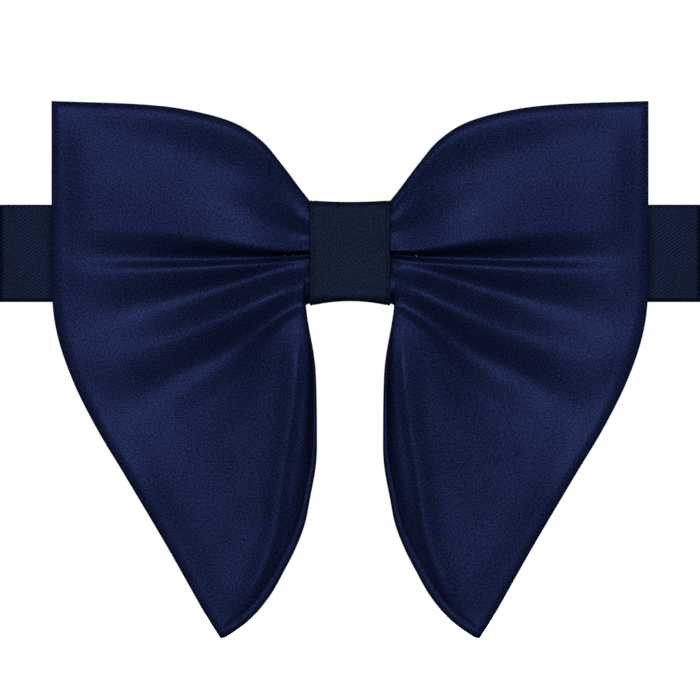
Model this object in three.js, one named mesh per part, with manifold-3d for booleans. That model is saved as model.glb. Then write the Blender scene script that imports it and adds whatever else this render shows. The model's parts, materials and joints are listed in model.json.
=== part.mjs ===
// A pre-tied butterfly bow tie on an adjustable neck strap, unhooked at the back of the neck.
// Millimetres, +Z up. The front faces -Y and the neck strap runs along X. The origin is the middle
// of the knot's flat back face, which rests on the collar. Pieces that touch keep a gap of CLEAR.
import * as THREE from 'three';
import { mergeVertices } from 'three/addons/utils/BufferGeometryUtils.js';
import Module from 'manifold-3d';

const wasm = await Module();
wasm.setup();

// Shared clearance between neighbouring pieces
const CLEAR = 0.3;

// Knot: the band closed round the middle of the bow
const KNOT_WIDTH = 19.6;
const KNOT_HEIGHT = 25.4;
const KNOT_DEPTH = 17.5;
const KNOT_CORNER = 2.2;
const WRAP_WALL = 0.8;
const INTERFACING_WALL = 0.5;
const BINDING_WALL = 0.8;
const BINDING_WIDTH = 6;

// Neck strap: a padded front run, a turn at each side and thinner ribbon runs behind the neck
const STRAP_WIDTH = 24.4;
const STRAP_THICKNESS = 1.8;
const SLEEVE_WALL = 0.4;
const RIBBON_THICKNESS = 1.0;
const STRAP_HALF_RUN = 88;
const NECK_LOOP_DEPTH = 25;
const STRAP_NIP = 4;
const BEND_STEPS = 18;

// Wings
const WING_HALF_SPAN = 74.9;
const WING_TOP = 38.1;
const TAIL_DROP = 97;
const TAIL_TIP_X = 32.5;
const LEAF_WALL = 0.75;
const FRONT_BULGE = 9.8;
const OUTER_BULGE = 7;
const BACK_BULGE = 4.6;
const NECK_START_X = 1;
const FAN_STEPS = 20;
const NECK_STEPS = 4;
const ACROSS_STEPS = 18;
const LINING_INSET = 2;

// Plated hardware for the back of the strap
const BAR_RADIUS = 0.7;
const PLATE_THICKNESS = 1.0;
const SIDE_ARM = 1.8;
const SIDE_CLEAR = 0.6;
const SLOT_REACH = 3.6;
const TONGUE_WIDTH = 7;
const TONGUE_LENGTH = 16;
const TONGUE_CURL = 1.6;
const TONGUE_TIP = 5;
const CATCH_LENGTH = 8;
const CATCH_WIDTH = 10;
const CATCH_RIM = 1.8;
const SLIDER_HALF_LENGTH = 7.5;
const SLIDER_RAIL = 1.4;
const HOOK_BAR_X = -24;
const EYE_BAR_X = 28;
const SLIDER_BAR_X = -54;

// Sewn loops of the ribbon and their bar tacks
const HOOK_LOOP_TAIL = 3;
const SLIDER_FLAP = 9;
const EYE_FLAP = 11;
const TACK_WIDTH = 2;
const TACK_HEIGHT = 0.5;
const TACK_MARGIN = 3;

// Levels that follow from the sizes above
const WRAP_BACK = -WRAP_WALL;
const INTERFACING_BACK = WRAP_BACK - CLEAR - INTERFACING_WALL;
const STRAP_MID_Y = INTERFACING_BACK - CLEAR - STRAP_THICKNESS / 2;
const STRAP_FRONT_FACE = STRAP_MID_Y - STRAP_THICKNESS / 2;
const INTERFACING_FRONT = -KNOT_DEPTH + WRAP_WALL + CLEAR + INTERFACING_WALL;
const BINDING_FRONT = INTERFACING_FRONT + CLEAR;
const BINDING_BACK = STRAP_FRONT_FACE - CLEAR;
const WING_MID_Y = (BINDING_FRONT + BINDING_BACK) / 2;
const NECK_HALF_DEPTH = (BINDING_BACK - BINDING_FRONT) / 2 - BINDING_WALL - CLEAR;
const INTERFACING_HALF = KNOT_HEIGHT / 2 - WRAP_WALL - CLEAR;
const BINDING_HALF = INTERFACING_HALF - INTERFACING_WALL - CLEAR;
const NECK_HALF = BINDING_HALF - BINDING_WALL - CLEAR;
const MOUTH_X = KNOT_WIDTH / 2 + CLEAR;
const MOUTH_HALF = BINDING_HALF - CLEAR;
const BEND_RADIUS = NECK_LOOP_DEPTH / 2;
const BEND_MID_Y = STRAP_MID_Y + BEND_RADIUS;
const RUN_Y = STRAP_MID_Y + NECK_LOOP_DEPTH;
const LOOP_RADIUS = BAR_RADIUS + CLEAR + RIBBON_THICKNESS / 2;
const BAR_Y = RUN_Y + LOOP_RADIUS;
const RETURN_Y = RUN_Y + 2 * LOOP_RADIUS;
const SLIDER_BAR_Y = RETURN_Y + LOOP_RADIUS;
const SLIDER_FLAP_Y = RETURN_Y + 2 * LOOP_RADIUS;
const SLIDER_FOOT_Y = RUN_Y - RIBBON_THICKNESS / 2 - CLEAR - BAR_RADIUS;
const ARM_INNER = STRAP_WIDTH / 2 + SIDE_CLEAR;

// Edges of a wing as fractions of the way between its corners, [along X, along Z]
const TOP_EDGE = [[0, 0], [0.04, 0.2], [0.11, 0.42], [0.19, 0.64], [0.3, 0.81], [0.47, 0.92], [0.66, 0.97], [1, 1]];
const INNER_EDGE = [
  [0, 0], [0.05, 0.04], [0, 0.12], [-0.06, 0.23], [-0.07, 0.39], [-0.06, 0.5],
  [0.02, 0.61], [0.16, 0.74], [0.45, 0.88], [0.85, 0.98], [1, 1],
];
const OUTER_EDGE = [
  [0, 0], [0, 0.18], [0, 0.34], [0.04, 0.43], [0.14, 0.52], [0.28, 0.61], [0.45, 0.7], [0.69, 0.83], [0.92, 0.96], [1, 1],
];

// Materials, one per kind of cloth or metal
const satin = { color: 0x182144, roughness: 0.45, metalness: 0 };
const twill = { color: 0x151c33, roughness: 0.55, metalness: 0 };
const ribbon = { color: 0x141b34, roughness: 0.5, metalness: 0 };
const padding = { color: 0xd8d4c8, roughness: 0.95, metalness: 0 };
const thread = { color: 0x10162a, roughness: 0.7, metalness: 0 };
const plated = { color: 0xb8bac0, roughness: 0.25, metalness: 1 };

const tie = new THREE.Group();

// Adds one named piece, in the finish given, to the bow tie
function addPiece(name, geometry, finish) {
  const mesh = new THREE.Mesh(geometry, new THREE.MeshStandardMaterial(finish));
  mesh.name = name;
  tie.add(mesh);
}

// Bases that stand an extruded outline up: drawn in XZ and as thick along Y, or drawn in YZ along X
const XZ_BASIS = new THREE.Matrix4().makeBasis(
  new THREE.Vector3(1, 0, 0),
  new THREE.Vector3(0, 0, 1),
  new THREE.Vector3(0, -1, 0),
);
const YZ_BASIS = new THREE.Matrix4().makeBasis(
  new THREE.Vector3(0, 1, 0),
  new THREE.Vector3(0, 0, 1),
  new THREE.Vector3(1, 0, 0),
);

// Extrudes an outline to the thickness given, half each way from its own plane
function slab(shape, thickness, steps = 8) {
  const geometry = new THREE.ExtrudeGeometry(shape, { depth: thickness, bevelEnabled: false, curveSegments: steps });
  return geometry.translate(0, 0, -thickness / 2);
}

// A closed outline through a list of [a, b] points
function outline(points) {
  return new THREE.Shape(points.map(([a, b]) => new THREE.Vector2(a, b)));
}

// A rectangle with round corners, centred on (a, b)
function roundedRect(a, b, halfA, halfB, radius, Kind = THREE.Shape) {
  const path = new Kind();
  path.absarc(a + halfA - radius, b + halfB - radius, radius, 0, Math.PI / 2);
  path.absarc(a - halfA + radius, b + halfB - radius, radius, Math.PI / 2, Math.PI);
  path.absarc(a - halfA + radius, b - halfB + radius, radius, Math.PI, 1.5 * Math.PI);
  path.absarc(a + halfA - radius, b - halfB + radius, radius, 1.5 * Math.PI, 2 * Math.PI);
  return path;
}

// Turns a closed geometry into a solid that can be joined or cut
function toSolid(geometry) {
  const bare = geometry.clone();
  bare.deleteAttribute('normal');
  bare.deleteAttribute('uv');
  const merged = mergeVertices(bare, 1e-4);
  const vertProperties = new Float32Array(merged.attributes.position.array);
  const triVerts = new Uint32Array(merged.index.array);
  return new wasm.Manifold(new wasm.Mesh({ numProp: 3, vertProperties, triVerts }));
}

// Turns a joined or cut solid back into a geometry
function toGeometry(solid) {
  const mesh = solid.getMesh();
  const geometry = new THREE.BufferGeometry();
  geometry.setAttribute('position', new THREE.BufferAttribute(mesh.vertProperties, 3));
  geometry.setIndex(new THREE.BufferAttribute(mesh.triVerts, 1));
  return geometry;
}

function joined(geometries) {
  return toGeometry(geometries.map(toSolid).reduce((whole, next) => whole.add(next)));
}

function mirrored(geometry) {
  const copy = geometry.clone().scale(-1, 1, 1);
  const index = copy.index.array;
  for (let i = 0; i < index.length; i += 3) {
    [index[i + 1], index[i + 2]] = [index[i + 2], index[i + 1]];
  }
  return copy;
}

// ---- Knot ----

// A closed band of cloth round the bow, its section drawn in YZ
function band(front, back, halfHeight, wall, width, corner) {
  const middle = (front + back) / 2;
  const halfDepth = (back - front) / 2;
  const section = roundedRect(middle, 0, halfDepth, halfHeight, corner);
  const bore = roundedRect(middle, 0, halfDepth - wall, halfHeight - wall, corner - wall);
  const block = toSolid(slab(section, width, 4));
  const hollow = toSolid(slab(bore, 2 * width, 4));
  return toGeometry(block.subtract(hollow)).applyMatrix4(YZ_BASIS);
}

function addKnot() {
  const interfacingCorner = KNOT_CORNER - WRAP_WALL / 2;
  const interfacingWidth = KNOT_WIDTH - 1;
  addPiece('knot_wrap', band(-KNOT_DEPTH, 0, KNOT_HEIGHT / 2, WRAP_WALL, KNOT_WIDTH, KNOT_CORNER), twill);
  addPiece('knot_interfacing', band(
    -KNOT_DEPTH + WRAP_WALL + CLEAR,
    WRAP_BACK - CLEAR,
    INTERFACING_HALF,
    INTERFACING_WALL,
    interfacingWidth,
    interfacingCorner,
  ), padding);
  addPiece('gather_binding', band(
    BINDING_FRONT,
    BINDING_BACK,
    BINDING_HALF,
    BINDING_WALL,
    BINDING_WIDTH,
    interfacingCorner - CLEAR,
  ), thread);
}

// ---- Wings ----

// A smooth curve between two corners, bent by the fractions listed
function edgeCurve(from, to, fractions) {
  return new THREE.SplineCurve(fractions.map(([a, b]) => new THREE.Vector2(
    THREE.MathUtils.lerp(from.x, to.x, a),
    THREE.MathUtils.lerp(from.y, to.y, b),
  )));
}

// The corners of the wing on the +X side, and the curves that join them
const mouthTop = new THREE.Vector2(MOUTH_X, MOUTH_HALF);
const mouthBottom = new THREE.Vector2(MOUTH_X, -MOUTH_HALF);
const topCorner = new THREE.Vector2(WING_HALF_SPAN, WING_TOP);
const tailTip = new THREE.Vector2(TAIL_TIP_X, -TAIL_DROP);
const topEdge = edgeCurve(mouthTop, topCorner, TOP_EDGE);
const innerEdge = edgeCurve(mouthBottom, tailTip, INNER_EDGE);
const outerEdge = edgeCurve(topCorner, tailTip, OUTER_EDGE);

// A point of the fan from the knot's mouth (s = 0) to the outer edge (s = 1), v across from the top
function fanPoint(s, v) {
  const top = topEdge.getPointAt(s);
  const inner = innerEdge.getPointAt(s);
  const outer = outerEdge.getPointAt(v);
  const mouth = mouthTop.clone().lerp(mouthBottom, v);
  const alongFan = top.lerp(inner, v);
  const acrossFan = mouth.lerp(outer, s);
  const nearCorners = mouthTop.clone().lerp(mouthBottom, v);
  const farCorners = topCorner.clone().lerp(tailTip, v);
  return alongFan.add(acrossFan).sub(nearCorners.lerp(farCorners, s));
}

// A point of the neck inside the knot, t running from its end to the knot's mouth
function neckPoint(t, v) {
  const half = THREE.MathUtils.lerp(NECK_HALF, MOUTH_HALF, t);
  return new THREE.Vector2(THREE.MathUtils.lerp(NECK_START_X, MOUTH_X, t), half * (1 - 2 * v));
}

// How full the wing is, from 0 at its sewn edges to 1 inside
function fullness(s, v) {
  return Math.sqrt(1 - (2 * v - 1) ** 8) * Math.sqrt(1 - s ** 10);
}

// The wing's grid, each point with its place and the depth of padding in front of and behind the seam
function wingGrid() {
  const rows = [];
  for (let i = 0; i <= NECK_STEPS + FAN_STEPS; i += 1) {
    const t = Math.min(i / NECK_STEPS, 1);
    const s = Math.max((i - NECK_STEPS) / FAN_STEPS, 0) ** 1.3;
    const swell = THREE.MathUtils.smoothstep(s, 0, 0.3);
    const outwards = THREE.MathUtils.smoothstep(s, 0.3, 1);
    const gathered = NECK_HALF_DEPTH - LEAF_WALL;
    const front = THREE.MathUtils.lerp(gathered, FRONT_BULGE, swell) - (FRONT_BULGE - OUTER_BULGE) * outwards;
    const back = THREE.MathUtils.lerp(gathered, BACK_BULGE, swell);
    const row = [];
    for (let j = 0; j <= ACROSS_STEPS; j += 1) {
      const even = j / ACROSS_STEPS;
      const v = 0.4 * even + 0.3 * (1 - Math.cos(Math.PI * even));
      const place = i < NECK_STEPS ? neckPoint(t, v) : fanPoint(s, v);
      const full = fullness(s, v);
      row.push({ x: place.x, z: place.y, front: front * full, back: back * full });
    }
    rows.push(row);
  }
  return rows;
}

// Closes the space between two matching grids of points into one solid that faces outward
function solidBetween(near, far) {
  const rows = near.length;
  const columns = near[0].length;
  const positions = [...near.flat(), ...far.flat()].flat();
  const nearAt = (i, j) => i * columns + j;
  const farAt = (i, j) => rows * columns + i * columns + j;
  const index = [];
  const quad = (a, b, c, d) => index.push(a, b, c, a, c, d);
  for (let i = 0; i + 1 < rows; i += 1) {
    for (let j = 0; j + 1 < columns; j += 1) {
      quad(nearAt(i, j), nearAt(i, j + 1), nearAt(i + 1, j + 1), nearAt(i + 1, j));
      quad(farAt(i, j), farAt(i + 1, j), farAt(i + 1, j + 1), farAt(i, j + 1));
    }
    quad(nearAt(i, 0), nearAt(i + 1, 0), farAt(i + 1, 0), farAt(i, 0));
    quad(farAt(i, columns - 1), farAt(i + 1, columns - 1), nearAt(i + 1, columns - 1), nearAt(i, columns - 1));
  }
  for (let j = 0; j + 1 < columns; j += 1) {
    quad(farAt(0, j), farAt(0, j + 1), nearAt(0, j + 1), nearAt(0, j));
    quad(nearAt(rows - 1, j), nearAt(rows - 1, j + 1), farAt(rows - 1, j + 1), farAt(rows - 1, j));
  }
  const geometry = new THREE.BufferGeometry();
  geometry.setAttribute('position', new THREE.Float32BufferAttribute(positions, 3));
  geometry.setIndex(index);
  return geometry;
}

// One leaf of a wing: a skin of LEAF_WALL, in front (side -1) or behind (side 1) the seam
function leaf(grid, side) {
  const depth = (point) => Math.max(side < 0 ? point.front : point.back, CLEAR / 2);
  const face = (reach) => grid.map((row) => row.map((p) => [p.x, WING_MID_Y + side * (depth(p) + reach), p.z]));
  const outer = face(LEAF_WALL);
  const inner = face(0);
  return side < 0 ? solidBetween(outer, inner) : solidBetween(inner, outer);
}

// The padding between the leaves, kept inside their sewn edges
function interlining(grid) {
  const inset = grid.slice(0, -LINING_INSET).map((row) => row.slice(LINING_INSET, -LINING_INSET));
  const near = inset.map((row) => row.map((p) => [p.x, WING_MID_Y - (p.front - CLEAR), p.z]));
  const far = inset.map((row) => row.map((p) => [p.x, WING_MID_Y + (p.back - CLEAR), p.z]));
  return solidBetween(near, far);
}

function addWings() {
  const grid = wingGrid();
  const pieces = [
    ['wing_front_leaf', leaf(grid, -1), satin],
    ['wing_back_leaf', leaf(grid, 1), satin],
    ['wing_interlining', interlining(grid), padding],
  ];
  for (const [name, geometry, finish] of pieces) {
    addPiece(`right_${name}`, geometry, finish);
    addPiece(`left_${name}`, mirrored(geometry), finish);
  }
}

// ---- Neck strap ----

// The front run's outline in XZ, nipped in where it passes through the knot
function nippedOutline(halfLength, halfWidth, nippedHalf) {
  const nipEnd = MOUTH_X;
  const nipStart = MOUTH_X + STRAP_NIP;
  const shape = new THREE.Shape();
  shape.moveTo(-halfLength, halfWidth);
  for (const side of [1, -1]) {
    const turn = -side;
    shape.lineTo(turn * nipStart, side * halfWidth);
    shape.bezierCurveTo(
      turn * (nipStart - STRAP_NIP / 2),
      side * halfWidth,
      turn * (nipEnd + STRAP_NIP / 2),
      side * nippedHalf,
      turn * nipEnd,
      side * nippedHalf,
    );
    shape.lineTo(-turn * nipEnd, side * nippedHalf);
    shape.bezierCurveTo(
      -turn * (nipEnd + STRAP_NIP / 2),
      side * nippedHalf,
      -turn * (nipStart - STRAP_NIP / 2),
      side * halfWidth,
      -turn * nipStart,
      side * halfWidth,
    );
    shape.lineTo(-turn * halfLength, side * halfWidth);
    shape.lineTo(-turn * halfLength, -side * halfWidth);
  }
  return shape;
}

function addFrontRun() {
  const halfLength = STRAP_HALF_RUN - CLEAR;
  const nipped = NECK_HALF;
  const edge = SLEEVE_WALL;
  const flat = (shape, thickness) => slab(shape, thickness, 4).applyMatrix4(XZ_BASIS).translate(0, STRAP_MID_Y, 0);
  const outer = flat(nippedOutline(halfLength, STRAP_WIDTH / 2, nipped), STRAP_THICKNESS);
  const bore = flat(
    nippedOutline(halfLength + 1, STRAP_WIDTH / 2 - edge, nipped - edge),
    STRAP_THICKNESS - 2 * SLEEVE_WALL,
  );
  const filling = flat(
    nippedOutline(halfLength, STRAP_WIDTH / 2 - edge - CLEAR, nipped - edge - CLEAR),
    STRAP_THICKNESS - 2 * SLEEVE_WALL - 2 * CLEAR,
  );
  addPiece('strap_front_sleeve', toGeometry(toSolid(outer).subtract(toSolid(bore))), ribbon);
  addPiece('strap_front_interlining', filling, padding);
}

// The half turn on the +X side, thinning from the padded strap to the ribbon
function sideBend() {
  const outer = [];
  const inner = [];
  for (let i = 0; i <= BEND_STEPS; i += 1) {
    const angle = Math.PI * (i / BEND_STEPS - 0.5);
    const half = THREE.MathUtils.lerp(STRAP_THICKNESS, RIBBON_THICKNESS, i / BEND_STEPS) / 2;
    const at = (radius) => [STRAP_HALF_RUN + radius * Math.cos(angle), BEND_MID_Y + radius * Math.sin(angle)];
    outer.push(at(BEND_RADIUS + half));
    inner.unshift(at(BEND_RADIUS - half));
  }
  return slab(outline([...outer, ...inner]), STRAP_WIDTH);
}

// Ribbon seen from above: a lower layer, a half turn round a bar and an upper layer. The turn faces
// +X when towards is 1. The layers reach back from the bar by the two lengths given.
function sewnLoop(barX, lowerY, towards, lowerLength, upperLength) {
  const half = RIBBON_THICKNESS / 2;
  const middle = lowerY + LOOP_RADIUS;
  const shape = new THREE.Shape();
  const along = (length) => barX - towards * length;
  shape.moveTo(along(lowerLength), lowerY - half);
  shape.lineTo(barX, lowerY - half);
  shape.absarc(barX, middle, LOOP_RADIUS + half, -Math.PI / 2, Math.PI / 2, towards < 0);
  shape.lineTo(along(upperLength), middle + LOOP_RADIUS + half);
  shape.lineTo(along(upperLength), middle + LOOP_RADIUS - half);
  shape.lineTo(barX, middle + LOOP_RADIUS - half);
  shape.absarc(barX, middle, LOOP_RADIUS - half, Math.PI / 2, -Math.PI / 2, towards > 0);
  shape.lineTo(along(lowerLength), lowerY + half);
  shape.closePath();
  return slab(shape, STRAP_WIDTH);
}

// A straight flat stretch of ribbon between two places along X
function ribbonRun(fromX, toX, y) {
  const run = new THREE.BoxGeometry(toX - fromX, RIBBON_THICKNESS, STRAP_WIDTH);
  return run.translate((fromX + toX) / 2, y, 0);
}

// A row of thread across the outside of a sewn flap
function barTack(x, flapY) {
  const y = flapY + RIBBON_THICKNESS / 2 + CLEAR + TACK_HEIGHT / 2;
  const section = roundedRect(0, 0, TACK_WIDTH / 2, STRAP_WIDTH / 2 - TACK_MARGIN, TACK_WIDTH / 2 - 0.1);
  return slab(section, TACK_HEIGHT, 4).applyMatrix4(XZ_BASIS).translate(x, y, 0);
}

function addBackRuns() {
  const runEnd = HOOK_BAR_X - HOOK_LOOP_TAIL - CLEAR;
  const bendEnd = STRAP_HALF_RUN - CLEAR;
  addPiece('right_strap_bend', sideBend(), ribbon);
  addPiece('left_strap_bend', mirrored(mergeVertices(sideBend())), ribbon);
  addPiece('left_strap_run', ribbonRun(-bendEnd, runEnd, RUN_Y), ribbon);
  addPiece('hook_loop', sewnLoop(HOOK_BAR_X, RUN_Y, 1, HOOK_LOOP_TAIL, HOOK_LOOP_TAIL), ribbon);
  addPiece('left_strap_return', ribbonRun(SLIDER_BAR_X + SLIDER_FLAP + CLEAR, runEnd, RETURN_Y), ribbon);
  addPiece('slider_loop', sewnLoop(SLIDER_BAR_X, RETURN_Y, -1, SLIDER_FLAP, SLIDER_FLAP), ribbon);
  addPiece('right_strap_run', sewnLoop(EYE_BAR_X, RUN_Y, -1, bendEnd - EYE_BAR_X, EYE_FLAP), ribbon);
  addPiece('slider_loop_tack', barTack(SLIDER_BAR_X + SLIDER_FLAP - TACK_MARGIN, SLIDER_FLAP_Y), thread);
  addPiece('eye_loop_tack', barTack(EYE_BAR_X + EYE_FLAP - TACK_MARGIN, RETURN_Y), thread);
}

// ---- Hardware ----

// A round bar along Z, long enough to be held by the side arms
function bar(x, y) {
  const length = 2 * (ARM_INNER + SIDE_ARM / 2);
  return new THREE.CylinderGeometry(BAR_RADIUS, BAR_RADIUS, length, 16).rotateX(Math.PI / 2).translate(x, y, 0);
}

// Stamped plate with two side arms that hold a strap bar at x = 0, narrowing to a nose of noseHalf
function stampedPlate(noseStart, noseEnd, noseHalf) {
  const armOuter = ARM_INNER + SIDE_ARM;
  const heel = -BAR_RADIUS - 0.2;
  const shoulder = SLOT_REACH + SIDE_ARM / 2;
  return outline([
    [heel, -armOuter],
    [shoulder, -armOuter],
    [noseStart, -noseHalf],
    [noseEnd, -noseHalf],
    [noseEnd, noseHalf],
    [noseStart, noseHalf],
    [shoulder, armOuter],
    [heel, armOuter],
    [heel, ARM_INNER],
    [SLOT_REACH, ARM_INNER],
    [SLOT_REACH, -ARM_INNER],
    [heel, -ARM_INNER],
  ]);
}

// The hook: its tongue runs on from the plate and curls back over itself, away from the neck
function hookGeometry() {
  const half = PLATE_THICKNESS / 2;
  const noseStart = SLOT_REACH + 2 * SIDE_ARM + TONGUE_WIDTH / 4;
  const plate = slab(stampedPlate(noseStart, TONGUE_LENGTH, TONGUE_WIDTH / 2), PLATE_THICKNESS);
  const tongue = new THREE.Shape();
  tongue.moveTo(TONGUE_LENGTH - 2, -half);
  tongue.lineTo(TONGUE_LENGTH, -half);
  tongue.absarc(TONGUE_LENGTH, TONGUE_CURL, TONGUE_CURL + half, -Math.PI / 2, Math.PI / 2, false);
  tongue.lineTo(TONGUE_LENGTH - TONGUE_TIP, 2 * TONGUE_CURL + half);
  tongue.lineTo(TONGUE_LENGTH - TONGUE_TIP, 2 * TONGUE_CURL - half);
  tongue.lineTo(TONGUE_LENGTH, 2 * TONGUE_CURL - half);
  tongue.absarc(TONGUE_LENGTH, TONGUE_CURL, TONGUE_CURL - half, Math.PI / 2, -Math.PI / 2, true);
  tongue.lineTo(TONGUE_LENGTH - 2, half);
  tongue.closePath();
  const pieces = [plate.applyMatrix4(XZ_BASIS), bar(0, 0), slab(tongue, TONGUE_WIDTH)];
  return joined(pieces).translate(HOOK_BAR_X, BAR_Y, 0);
}

// The eye: a plate with a window that the hook's tongue goes through
function eyeGeometry() {
  const windowStart = SLOT_REACH + 2 * SIDE_ARM;
  const windowEnd = windowStart + CATCH_LENGTH;
  const noseHalf = CATCH_WIDTH / 2 + CATCH_RIM;
  const shape = stampedPlate(windowStart + CATCH_RIM / 2, windowEnd + CATCH_RIM, noseHalf);
  const middle = (windowStart + windowEnd) / 2;
  shape.holes.push(roundedRect(middle, 0, CATCH_LENGTH / 2, CATCH_WIDTH / 2, 1, THREE.Path));
  const plate = slab(shape, PLATE_THICKNESS, 4).applyMatrix4(XZ_BASIS);
  return joined([plate, bar(0, 0)]).rotateZ(Math.PI).translate(EYE_BAR_X, BAR_Y, 0);
}

// The slider: two arched rails carry a raised middle bar and, under the strap, two foot bars
function sliderGeometry() {
  const rise = SLIDER_BAR_Y - SLIDER_FOOT_Y;
  const steps = 10;
  const reach = SLIDER_HALF_LENGTH + BAR_RADIUS;
  const upper = [];
  const lower = [];
  for (let i = 0; i <= steps; i += 1) {
    const x = reach * ((2 * i) / steps - 1);
    const y = rise * Math.cos((Math.PI / 2) * Math.min(Math.abs(x) / SLIDER_HALF_LENGTH, 1));
    upper.unshift([x, y + BAR_RADIUS]);
    lower.push([x, y - BAR_RADIUS]);
  }
  const railZ = ARM_INNER + SLIDER_RAIL / 2;
  const rail = outline([...lower, ...upper]);
  const pieces = [
    slab(rail, SLIDER_RAIL).translate(0, 0, railZ),
    slab(rail, SLIDER_RAIL).translate(0, 0, -railZ),
    bar(-SLIDER_HALF_LENGTH, 0),
    bar(SLIDER_HALF_LENGTH, 0),
    bar(0, rise),
  ];
  return joined(pieces).translate(SLIDER_BAR_X, SLIDER_FOOT_Y, 0);
}

addKnot();
addWings();
addFrontRun();
addBackRuns();
addPiece('hook', hookGeometry(), plated);
addPiece('eye', eyeGeometry(), plated);
addPiece('slider_frame', sliderGeometry(), plated);

export default tie;
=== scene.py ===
"""A pre-tied butterfly bow tie in navy satin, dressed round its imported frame.

Lengths are in millimetres until a mesh is made, and the object stands in the frame's own axes:
the front faces -Y, the neck strap runs along X and +Z is up.
"""

from __future__ import annotations

import json
import logging
import math
from dataclasses import dataclass, field
from enum import Enum

import bpy
import numpy as np
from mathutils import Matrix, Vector

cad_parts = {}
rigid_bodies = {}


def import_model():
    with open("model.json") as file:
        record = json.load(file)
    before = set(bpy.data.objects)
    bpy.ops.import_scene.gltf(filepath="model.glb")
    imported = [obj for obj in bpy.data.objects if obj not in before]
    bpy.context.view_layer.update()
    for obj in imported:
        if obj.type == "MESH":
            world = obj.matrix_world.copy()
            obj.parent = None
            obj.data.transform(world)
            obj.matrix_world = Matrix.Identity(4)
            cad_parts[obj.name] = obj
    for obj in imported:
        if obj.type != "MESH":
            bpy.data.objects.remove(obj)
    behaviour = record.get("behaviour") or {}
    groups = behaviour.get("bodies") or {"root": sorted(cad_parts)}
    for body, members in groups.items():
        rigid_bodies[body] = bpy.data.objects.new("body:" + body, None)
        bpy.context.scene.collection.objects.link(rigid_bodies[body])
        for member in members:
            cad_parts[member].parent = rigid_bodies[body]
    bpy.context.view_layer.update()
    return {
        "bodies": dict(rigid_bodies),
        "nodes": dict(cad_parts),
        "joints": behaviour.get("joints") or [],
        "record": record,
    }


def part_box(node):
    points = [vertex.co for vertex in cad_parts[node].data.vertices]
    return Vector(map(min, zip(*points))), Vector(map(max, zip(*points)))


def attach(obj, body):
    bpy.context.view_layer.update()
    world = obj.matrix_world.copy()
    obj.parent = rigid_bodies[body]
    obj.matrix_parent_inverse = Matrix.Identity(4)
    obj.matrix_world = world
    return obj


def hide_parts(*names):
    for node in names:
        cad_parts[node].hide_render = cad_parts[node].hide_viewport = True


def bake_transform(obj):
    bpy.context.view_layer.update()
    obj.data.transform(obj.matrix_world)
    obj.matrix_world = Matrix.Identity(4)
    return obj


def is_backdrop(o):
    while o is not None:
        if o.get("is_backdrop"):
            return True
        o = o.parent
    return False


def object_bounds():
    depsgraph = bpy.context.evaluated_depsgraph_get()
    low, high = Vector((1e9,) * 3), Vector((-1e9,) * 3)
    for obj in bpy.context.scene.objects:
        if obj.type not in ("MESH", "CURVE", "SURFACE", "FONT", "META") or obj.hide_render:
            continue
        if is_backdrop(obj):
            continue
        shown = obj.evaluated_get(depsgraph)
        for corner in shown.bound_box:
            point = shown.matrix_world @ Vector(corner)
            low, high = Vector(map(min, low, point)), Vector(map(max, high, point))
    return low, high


MM = 0.001
MIX_SOCKETS = (0, 6, 7, 2)  # a colour Mix node's factor, first and second colours, and its result
NOISE_GRAIN = 0.55
TUBE_SIDES = 8
log = logging.getLogger("bow_tie")


# ---------------------------------------------------------------- shader expressions


class Value:
    """A socket that carries a number and can be used in Python expressions."""

    def __init__(self, graph: "Graph", socket: bpy.types.NodeSocket) -> None:
        """Wraps an output socket of the graph."""
        self.graph = graph
        self.socket = socket

    def _math(self, operation: str, *others: "Value | float") -> "Value":
        """Adds a Math node of this value and the others."""
        inputs = {i: x for i, x in enumerate((self, *others))}
        return self.graph.node("ShaderNodeMath", {"operation": operation}, inputs).value()

    def __add__(self, other: "Value | float") -> "Value":
        """The sum."""
        return self._math("ADD", other)

    __radd__ = __add__

    def __mul__(self, other: "Value | float") -> "Value":
        """The product."""
        return self._math("MULTIPLY", other)

    __rmul__ = __mul__

    def __sub__(self, other: "Value | float") -> "Value":
        """The difference."""
        return self._math("SUBTRACT", other)

    def __rsub__(self, other: float) -> "Value":
        """The difference from a plain number."""
        return self._math("MULTIPLY", -1.0) + other

    def __abs__(self) -> "Value":
        """The value without its sign."""
        return self._math("ABSOLUTE")

    def sine(self) -> "Value":
        """The sine of the value in radians."""
        return self._math("SINE")

    def clamped(self) -> "Value":
        """The value held between 0 and 1."""
        return self._math("MAXIMUM", 0.0)._math("MINIMUM", 1.0)


class Built:
    """A node that the graph has just added."""

    def __init__(self, graph: "Graph", node: bpy.types.Node) -> None:
        """Keeps the node with its graph."""
        self.graph = graph
        self.node = node

    def value(self, name: str | int = 0) -> Value:
        """An output as a number for expressions."""
        return Value(self.graph, self.node.outputs[name])

    def out(self, name: str | int = 0) -> bpy.types.NodeSocket:
        """An output as a bare socket, for colours, vectors and shaders."""
        return self.node.outputs[name]


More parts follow.
